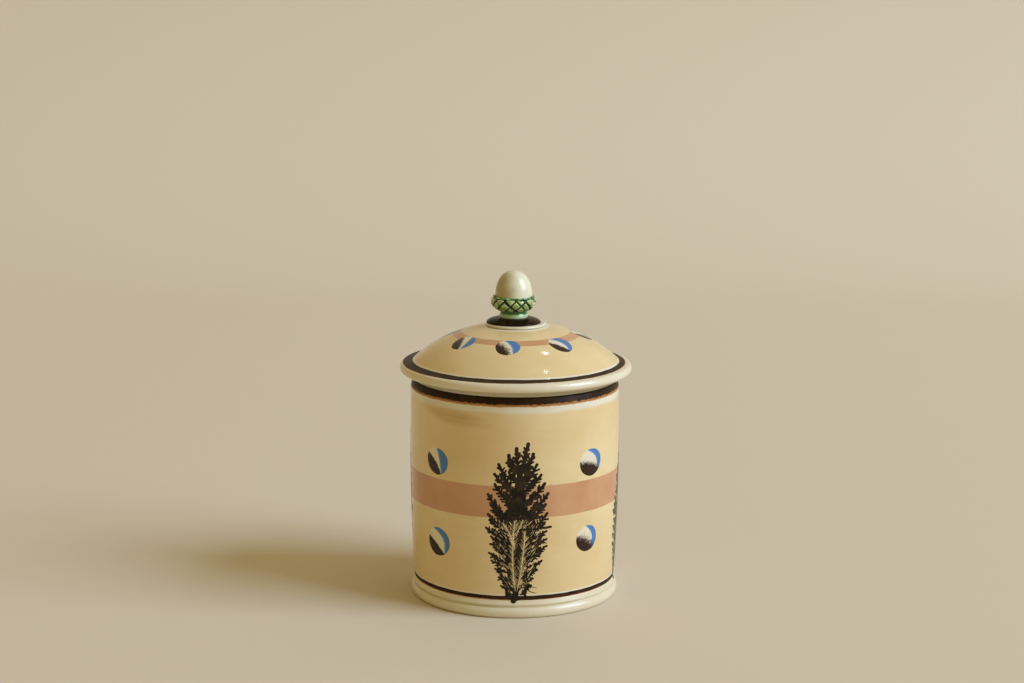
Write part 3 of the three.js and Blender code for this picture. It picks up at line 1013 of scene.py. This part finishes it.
def slip_drop(name, place, half_width, half_height, dark, blue, seed, shift=(0, 0, 0)):
    """A drop of slip: a nearly round, low lens that place puts on its surface. Three small cosine
    waves run round its edge, and its lift falls off with the fourth power of the way out. Each
    point is marked with how far it lies beyond the edge of the dark part and of the blue part."""
    dice = np.random.default_rng(seed)
    share = np.concatenate([[1], np.linspace(1, drop_hub, drop_rings)])[:, None]
    angle = np.linspace(0, 2 * np.pi, drop_steps, endpoint=False)
    edge = 1 + sum(size * np.cos(turns * angle + dice.uniform(0, 6)) for size, turns in drop_waves)
    x, y = share * edge * np.cos(angle), share * edge * np.sin(angle)
    lift = drop_relief * (1 - share**4) * np.ones(drop_steps)
    lift[0] = -drop_depth
    piece = round_piece(name, place(x * half_width, y * half_height, lift), eye_slip, shift)
    radius = (half_width + half_height) / 2
    for mark, part in (("dark", dark), ("blue", blue)):
        set_mark(piece, mark, beyond(x, y, *part) * radius, beyond(0, 0, *part) * radius * np.ones(2))
    return piece


# Three slips under clear glaze. The blue meets the white in a clean line and thins out towards
# it, and the brown feathers out into the white in grey streaks.
eye_slip = new_material("clear_glaze_on_three_slips")
blue = painted(eye_slip, eye_blue_thin_tone, ("blue", 0.2, 3.0, 2.0, 1.429, eye_blue_tone))
blue_part = ("blue", -0.4, 0.4, 0.8, blue)
dark_part = ("dark", -1.5, 0.5, 1.2, eye_brown_tone)
glaze_over(eye_slip, painted(eye_slip, eye_white_tone, blue_part, dark_part), specular=0.25)

for index, (azimuth, height, *shape) in enumerate(jar_drops, 1):
    drop = slip_drop(f"jar_drop_{index}", wall_place(azimuth, height), *shape, jar_drop_seed + index)
    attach(drop, "jar")

# Lid
# Thrown and turned like the jar. It has a flange that drops inside the jar's rim, a rolled edge
# over a slanted underside, a nearly level ledge for the brown line, and a dome.

lid_shift = (0.4, 0, 0)
flange_depth = 8.5
flange_thickness = 3.6
flange_clearance = 0.9
flange_round = 1.2
lid_thickness = 4.8
lid_edge_overhang = 0.4
lid_edge_chamfer = (0.4, 0.35)
seat_fillet = 0.3
roll_above_seat = 7.9
roll_width = 2.4
roll_upper_height = 2.8
roll_lower_height = 2.1
rim_line_width = 4.3
rim_line_off_centre = -0.9
dome_beyond_foot = 12
crease_inset = 0.8
crease_drop = 0.5
crease_lip = (0.3, 0.25)
crease_groove = (0.35, 0.15)
ledge_fillet = 0.35
ledge_fillet_reach = 6
disc_overlap = 0.1

flange_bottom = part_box("lid_body")[0].z / MM
lid_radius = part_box("lid_body")[1].x / MM
ledge_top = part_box("lid_rim_line")[1].z / MM
knob_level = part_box("knob_disc")[0].z / MM
disc_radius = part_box("knob_disc")[1].x / MM
seat_level = flange_bottom + flange_depth
roll_centre = lid_radius - roll_width
roll_top = seat_level + roll_above_seat
roll_middle = roll_top - roll_upper_height
dome_foot = roll_centre - rim_line_width
dome_width = dome_foot + dome_beyond_foot


def ellipse_share(radius, half_width):
    """How high an ellipse stands at a radius, as a share of its half-height."""
    return np.sqrt(np.maximum(1 - (radius / half_width) ** 2, 0))


land_share, foot_share = ellipse_share(np.array([disc_radius, dome_foot]), dome_width)
dome_half_height = (knob_level - ledge_top) / (land_share - foot_share)
dome_centre = ledge_top - dome_half_height * foot_share


def dome_height(radius):
    """The dome's top: part of an ellipsoid whose half-width is larger than the dome's foot."""
    return dome_centre + dome_half_height * ellipse_share(radius, dome_width)


def lid_outline(radius):
    """The lid's top, as (radius, height) for each radius: the dome, outside it a ledge that slopes
    gently down to the roll, and the roll's upper quarter ellipse. A fillet eases the corner
    between dome and ledge."""
    dome = dome_height(radius)
    ledge = ledge_top + (roll_top - ledge_top) * (radius - dome_foot) / rim_line_width
    eased = (dome + ledge + np.sqrt((dome - ledge) ** 2 + ledge_fillet**2)) / 2
    roll = roll_middle + roll_upper_height * ellipse_share(radius - roll_centre, roll_width)
    zones = [radius > roll_centre, radius > dome_foot - ledge_fillet_reach]
    return np.stack([radius, np.select(zones, [roll, eased], dome)], -1)


def lid_bed(radius):
    """The bottom of the slip's bed in the lid's top, as (radius, height) for each radius."""
    return lid_outline(radius) - [0, slip_depth]


flange_radius = inside_rim - flange_clearance
flange_inside = flange_radius - flange_thickness
hollow_width, hollow_half_height = dome_width - lid_thickness, dome_half_height - lid_thickness
hollow_start = np.degrees(np.arccos(hub_radius / hollow_width))
hollow_stop = np.degrees(np.arccos(flange_inside / hollow_width))
hollow = arc(0, dome_centre, hollow_width, hollow_half_height, hollow_start, hollow_stop, 60)
rounds = [
    arc(middle, flange_bottom + flange_round, flange_round, flange_round, start, start + 90, 7)
    for middle, start in ((flange_inside + flange_round, 180), (flange_radius - flange_round, 270))
]
lid_edge = rim_radius + lid_edge_overhang
crease_radius = roll_centre - crease_inset
crease_height = roll_middle - roll_lower_height - crease_drop
flange_and_seat = joined(
    *rounds,
    (flange_radius, seat_level - seat_fillet),
    (flange_radius + seat_fillet, seat_level),
    (lid_edge - lid_edge_chamfer[0], seat_level),
    (lid_edge, seat_level + lid_edge_chamfer[1]),
    (crease_radius - crease_lip[0], crease_height - crease_lip[1]),
)
underneath = joined(
    hollow,
    along(flange_and_seat, 1.5),
    (crease_radius - crease_groove[0], crease_height + crease_groove[1]),
    arc(roll_centre, roll_middle, roll_width, roll_lower_height, -96, 0, 16)[1:],
)
line_outer_edge = wavy_edge(roll_centre, 10, rim_line_off_centre)
roll_end = np.degrees(np.arccos(np.clip((line_outer_edge - roll_centre) / roll_width, 0, 1)))
bed_radii = np.linspace(line_outer_edge - bed_gap, disc_radius + disc_overlap, 90)
on_top = np.concatenate(
    [
        arc(roll_centre, roll_middle, roll_width, roll_upper_height, 0, roll_end, 18)[1:],
        lid_outline(line_outer_edge)[None],
        lid_bed(bed_radii) - [0, bed_gap],
    ]
)
under_knob = joined((disc_radius, knob_level - bed_gap), (hub_radius, knob_level - bed_gap))
lid_profile = np.concatenate([all_round(underneath), on_top, all_round(under_knob)])
lid = turned_piece("thrown_lid", lid_profile, cream_glaze, lid_shift)
off_crease = (lid_profile[..., 1] - crease_height) / pool_half_height
set_mark(lid, "pooled_glaze_and_painted_shade", np.exp(-(off_crease**2)) * (lid_profile[..., 0] > lid_edge), [0, 0])
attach(lid, "lid")
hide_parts("lid_body")

# Slip bands on the lid
# The same slips as on the jar: a brown line on the ledge, and a buff dome with one narrow
# terracotta band. The first edge of each ring is its outer one.

lid_terracotta_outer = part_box("lid_terracotta_band")[1].x / MM
lid_terracotta_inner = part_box("lid_inner_field")[1].x / MM
lid_radii = (dome_foot, lid_terracotta_outer, lid_terracotta_inner, disc_radius + disc_overlap)
lid_edges = [line_outer_edge, *(wavy_edge(radius, seed) for seed, radius in enumerate(lid_radii, 11))]
lid_slips = (
    # name, node, material, slot, what touches it, width of the bleed
    ("lid_line", "lid_rim_line", brown_slip, "brown_slip", (), 0.35),
    ("lid_outer_buff_field", "lid_outer_field", buff_slip, "buff_slip", ("brown below",), 1),
    ("lid_terracotta_ring", "lid_terracotta_band", terracotta_slip, "terracotta_slip", (), 1),
    ("lid_inner_buff_field", "lid_inner_field", buff_slip, "buff_slip", ("disc",), 1),
)
lay_slips(lid_slips, lid_edges, lid_outline, lid_bed, "lid", lid_shift)

# Drops of slip on the lid
# Seven smaller eyes, run on from the same three-barrelled bottle while the slip is wet. They
# stand in a ring round the dome, over the terracotta band.

lid_drop_radius = 6.5
lid_drop_ring = 34.5
lid_drop_seed = 80
lid_drops = (
    # azimuth from the front, then the dark and the blue part as on the jar
    (-103, (-140, 0.2, -0.1, 0.6), (16, 0.4, 0.1, 0.4)),
    (-52, (-143, 0.16, -0.1, 0.9), (16, 0.36, 0.1, 0.4)),
    (-7, (-145, 0.26, -0.2, 1.8), (24, 0.28, 0.2, 0.4)),
    (42, (-143, 0.32, -0.15, 0.8), (14, 0.25, 0.4, 0.4)),
    (95, (-142, 0.2, -0.1, 0.8), (12, 0.4, 0.2, 0.4)),
    (146, (-132, 0.2, -0.1, 1.0), (20, 0.4, 0.2, 0.4)),
    (200, (-150, 0.25, 0, 0.5), (10, 0.4, 0.2, 0.4)),
)

meridian_radius = np.linspace(0, dome_foot, 400)
meridian_steps = np.hypot(np.diff(meridian_radius), np.diff(dome_height(meridian_radius)))
meridian_length = np.append(0, np.cumsum(meridian_steps))


def dome_place(azimuth, ring):
    """A function that puts points on the lid's dome, from distances across and up the dome from
    the middle of a drop and a lift off it. Lengths up the dome are measured along its curve, and
    the lift goes along the ellipsoid's normal."""

    def place(across, up, lift):
        length = np.interp(ring, meridian_radius, meridian_length) - up
        radius = np.interp(length, meridian_length, meridian_radius)
        angle = np.radians(azimuth - 90) + across / radius
        rise = dome_height(radius) - dome_centre
        normal = np.stack([radius / dome_width**2, rise / dome_half_height**2])
        outward, upward = lift * normal / np.hypot(*normal)
        height = dome_centre + rise + upward
        return on_cylinder(radius + outward + hand_wander(angle, height), angle, height)

    return place


for index, (azimuth, *parts) in enumerate(lid_drops, 1):
    place = dome_place(azimuth, lid_drop_ring)
    sizes = (lid_drop_radius, lid_drop_radius)
    drop = slip_drop(f"lid_drop_{index}", place, *sizes, *parts, lid_drop_seed + index, lid_shift)
    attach(drop, "lid")

# Knob's disc and seat
# A cream disc luted on the dome, and on it a low domed seat in dark brown slip, set a little to
# the left of the lid's middle with the rest of the knob.

knob_shift = (-0.8, 0, 0)
disc_height = 1.6
disc_edge_width = 0.8
seat_inset = 1.4
seat_height = 2.8
seat_top_radius = 8.6
seat_tone = "1f1209"

disc_top = knob_level + disc_height
disc_edge = (disc_radius - disc_edge_width, knob_level + disc_height / 2)
disc_profile = joined(
    (hub_radius, knob_level),
    arc(*disc_edge, disc_edge_width, disc_height / 2, -90, 90, 14),
    (hub_radius, disc_top),
)
disc = turned_piece("knob_cream_disc", along(disc_profile, 2), cream_glaze, lid_shift)
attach(disc, "lid")
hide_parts("knob_disc")

# The same brown slip under a full, smooth coat of glaze, so that it is glossier and darker.
dark_glaze = new_material("glossy_glaze_on_brown_slip")
glaze_over(dark_glaze, painted(dark_glaze, seat_tone, brown_mottle), roughness=0.15, specular=0.05)

seat_radius = disc_radius - seat_inset
seat_curve = seat_height / np.sqrt(1 - (seat_top_radius / seat_radius) ** 2)
seat_cut = np.degrees(np.arccos(seat_top_radius / seat_radius))
seat_profile = joined(
    (hub_radius, disc_top),
    arc(0, disc_top, seat_radius, seat_curve, 0, seat_cut, 24),
    (hub_radius, disc_top + seat_height),
)
seat = turned_piece("knob_brown_seat", along(seat_profile, 2), dark_glaze, knob_shift)
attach(seat, "lid")
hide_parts("knob_seat")

# Acorn's cup
# Modelled in cream clay, with a collar below and diagonal cuts crossing all round it, and coated
# in green glaze, which runs off the raised lozenges and pools nearly black in the cuts.

cup_radius = 11.65
cup_lower_height = 6.2
cup_upper_height = 7.3
cup_waist_above_collar = 5.6
collar_radius = 7.55
collar_foot_inset = 0.3
collar_bead = (0.5, 0.9)
neck_radius = 6.95
collar_height = 2.5
nut_radius = 9.65
nut_clearance = 0.3
nut_seat_depth = 0.8
lozenges_around = 12
lozenge_rise = 5.7
lozenge_bulge, lozenge_fullness = 0.35, 0.7
lozenge_shoulder = 2.2
first_crossing = 3.1
crossing_azimuth = 5.0
lattice_low, lattice_high = 1.7, 9.5
lattice_ease = 0.5
cut_depth, cut_sharpness = 1.0, 1.2
cut_half_widths = (0.6, 1.0)
cut_wander = 0.06
cut_seed = 20
lip_groove_depth = 0.35
lip_groove_half_width = 0.45
lip_turns = np.arange(5, 30, 4)[:, None]
lip_seed = 23
lip_bulge = 0.22
lip_climb = 0.32
lip_depth = 0.8
lip_chamfer = 0.1
lip_pool, lip_pool_wave = 0.65, 0.3
cup_steps = 600
cup_rows = 84
crest_tone = "8ba052"
thin_tone = "dbdfa8"
mint_tone = "a3c88c"
green_tone = "3c6e32"
pool_tone = "10190c"
collar_foot_highlight_tone = "d9e0bf"

# The swell's profile bulges from the neck to the waist, and closes in again to the lip.
seat_top, lip_height = (corner.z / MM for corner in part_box("acorn_cup"))
collar_top = seat_top + collar_height
waist_height = collar_top + cup_waist_above_collar
lowest = -np.degrees(np.arccos(neck_radius / cup_radius))
highest = np.degrees(np.arcsin((lip_height - waist_height) / cup_upper_height))
lower_swell = arc(0, waist_height, cup_radius, cup_lower_height, lowest, 0, cup_rows)
upper_swell = arc(0, waist_height, cup_radius, cup_upper_height, 0, highest, cup_rows // 2)
swell = joined(lower_swell, upper_swell[1:])
rise = np.append(0, np.cumsum(np.hypot(*np.diff(swell, axis=0).T)))

# Two families of cuts climb round the swell, one to each side. Each cut strays a little and has
# its own width, and its section is a parabola raised to a power. Between the cuts the lozenges
# bulge by a power of the distance from the nearest one.
cup_azimuth = np.linspace(0, 2 * np.pi, cup_steps, endpoint=False)
column = lozenges_around * (cup_azimuth + np.pi / 2 - np.radians(crossing_azimuth)) / (2 * np.pi)
row = ((rise - first_crossing) / lozenge_rise)[:, None]
cell_width = 2 * np.pi * swell[:, :1] / lozenges_around
cut_distance = np.full((len(rise), cup_steps), np.inf)
cut = np.zeros((len(rise), cup_steps))
for family, turn in enumerate((-1, 1)):
    dice = np.random.default_rng(cut_seed + family)
    count = column + turn * row
    number = np.round(count).astype(int) % lozenges_around
    miss = np.abs(count - np.round(count) - dice.normal(0, cut_wander, lozenges_around)[number])
    away = miss * cell_width * lozenge_rise / np.hypot(cell_width, lozenge_rise)
    half_width = dice.uniform(*cut_half_widths, lozenges_around)[number]
    cut_distance = np.minimum(cut_distance, away + cut_half_widths[1] - half_width)
    cut = np.maximum(cut, np.clip(1 - (away / half_width) ** 2, 0, 1) ** cut_sharpness)
into_lattice = np.minimum(rise - lattice_low, lattice_high - rise)[:, None]
ease = np.clip(into_lattice / lattice_ease + 0.5, 0, 1)
bulge = lozenge_bulge * np.clip(cut_distance / lozenge_shoulder, 0, 1) ** lozenge_fullness

# A groove runs round under the lip, which waves in and out, and up and down.
above_lattice = (rise - lattice_high)[:, None]
lip_groove = lip_groove_depth * np.clip(1 - (above_lattice / lip_groove_half_width) ** 2, 0, 1)
phase = np.random.default_rng(lip_seed).uniform(0, 2 * np.pi, (len(lip_turns), 1))
lip_waves = np.sin(lip_turns * cup_azimuth + phase).sum(0) / 3
on_lip = np.clip(above_lattice / lip_depth, 0, 1)
swell_radius = swell[:, :1] + (bulge - cut_depth * cut) * ease - lip_groove
swell_radius += lip_bulge * lip_waves * on_lip
recess = nut_radius + nut_clearance
recess_floor = lip_height - nut_seat_depth
collar_profile = joined(
    (hub_radius, seat_top),
    (collar_radius - collar_foot_inset, seat_top),
    arc(collar_radius - collar_bead[0], seat_top + collar_bead[1], *collar_bead, -60, 60, 8),
    (neck_radius, collar_top),
)
below = along(collar_profile, 0.8)
recess_edge = (recess + lip_chamfer, lip_height - lip_chamfer)
above = along(joined(recess_edge, (recess, recess_floor), (hub_radius, recess_floor)), 2)
around = np.ones(cup_steps)
cup_radii = np.concatenate([below[:, :1] * around, swell_radius, above[:, :1] * around])
cup_heights = np.concatenate([below[:, 1:], swell[:, 1:], above[:, 1:]]) * around
cup_heights += lip_climb * lip_waves * np.clip((cup_heights - lip_height) / lip_depth + 1, 0, 1)

# Green glaze over cream clay: olive on the lozenges, pale where it has run thin at their edges,
# almost black in the cuts, full green round the neck, pale mint on the collar, and a painted
# highlight in cream-white along the collar's foot.
green_glaze = new_material("green_glaze_on_modelled_clay")
lip_green = painted(green_glaze, mint_tone, (3.333, 0.36, 0.52, green_tone))
green = painted(
    green_glaze,
    thin_tone,
    (2.381, 0.42, 0.62, mint_tone),
    ("from_cut", 0.9, 1.7, 1.2, 2, crest_tone),
    ("above_collar", 9.3, 9.7, lip_green),
    ("from_cut", 0.95, 0.6, 0.3, 1.667, green_tone),
    ("from_cut", 0.62, 0.35, 0.2, fray_length, pool_tone),
    ("above_collar", 2.2, 1.2, 0.8, 2.5, green_tone),
    ("above_collar", -0.1, -0.8, 0.5, 2.5, mint_tone),
    # Painted highlight: cream-white along the collar's foot.
    ("above_collar", -1.5, -2.0, 0.5, 2.5, collar_foot_highlight_tone),
)
glaze_over(green_glaze, green, roughness=0.08)

cup_points = on_cylinder(cup_radii, cup_azimuth, cup_heights)
cup = round_piece("green_acorn_cup", cup_points, green_glaze, knob_shift)
in_swell = slice(len(below), len(below) + len(swell))
from_cut = np.full(cup_radii.shape, 1.0)
under_lip = np.abs(above_lattice) + lip_pool + lip_pool_wave * lip_waves
from_cut[in_swell] = np.minimum(np.where(into_lattice > 0, cut_distance, 9), under_lip)
set_mark(cup, "from_cut", from_cut, [1, 1])
above_collar = cup_heights - collar_top
above_collar[in_swell] = rise[:, None]
set_mark(cup, "above_collar", above_collar, [-2, 9])
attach(cup, "lid")
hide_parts("acorn_cup")

# Acorn's nut
# A plain cream nut that stands in the cup, a little straighter in the sides than an egg. It was
# turned, set in the cup with slip, and glazed clear.

nut_height = 14
nut_fullness = 2.3
nut_foot_inset = 0.3
nut_tone = "dfdbbd"
nut_speck_tone = "cdbf9c"
nut_painted_shade_tone = "b3a67c"
nut_shade_azimuth = -62
nut_shade_level, nut_shade_strength, nut_shade_edge = 0.35, 0.9, 0.3

# The outline is a quarter of a superellipse: an ellipse whose cosine and sine are raised to less
# than 1, which fills it out.
nut_angle = np.radians(np.linspace(0, 89.2, 80))
nut_radii = nut_radius * np.cos(nut_angle) ** (2 / nut_fullness)
nut_heights = recess_floor + nut_height * np.sin(nut_angle) ** (2 / nut_fullness)
nut_outline = np.stack([nut_radii, nut_heights], -1)
nut_foot = (nut_radius - nut_foot_inset, recess_floor)
nut_profile = along(joined((hub_radius, recess_floor), nut_foot, nut_outline), 2)

# Clear glaze over pale cream clay, with a few specks of iron. Painted shade darkens it to olive
# on the front-left side, most towards the foot.
nut_glaze = new_material("clear_glaze_on_pale_clay")
# Painted shade: an olive tone laid over the nut where its mark is high.
nut_shade_layer = ("pooled_glaze_and_painted_shade", 0.2, 1, 0.3, 6.667, nut_painted_shade_tone)
nut_colour = painted(nut_glaze, nut_tone, nut_shade_layer, (1.429, 0.62, 0.75, nut_speck_tone))
glaze_over(nut_glaze, nut_colour, roughness=0.27, ripple=0.004)

nut = turned_piece("cream_acorn_nut", nut_profile, nut_glaze, knob_shift)
# Painted shade: strongest on the side away from the window, fading towards the nut's top.
towards_shade = np.cos(azimuths - np.radians(nut_shade_azimuth - 90)) - nut_shade_edge
nut_rise = np.clip((nut_profile[:, 1:] - recess_floor) / nut_height, 0, 1)
nut_painted_shade = nut_shade_level + nut_shade_strength * towards_shade * np.sqrt(1 - nut_rise**4)
set_mark(nut, "pooled_glaze_and_painted_shade", nut_painted_shade, [0, nut_shade_level])
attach(nut, "lid")
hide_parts("acorn_nut")
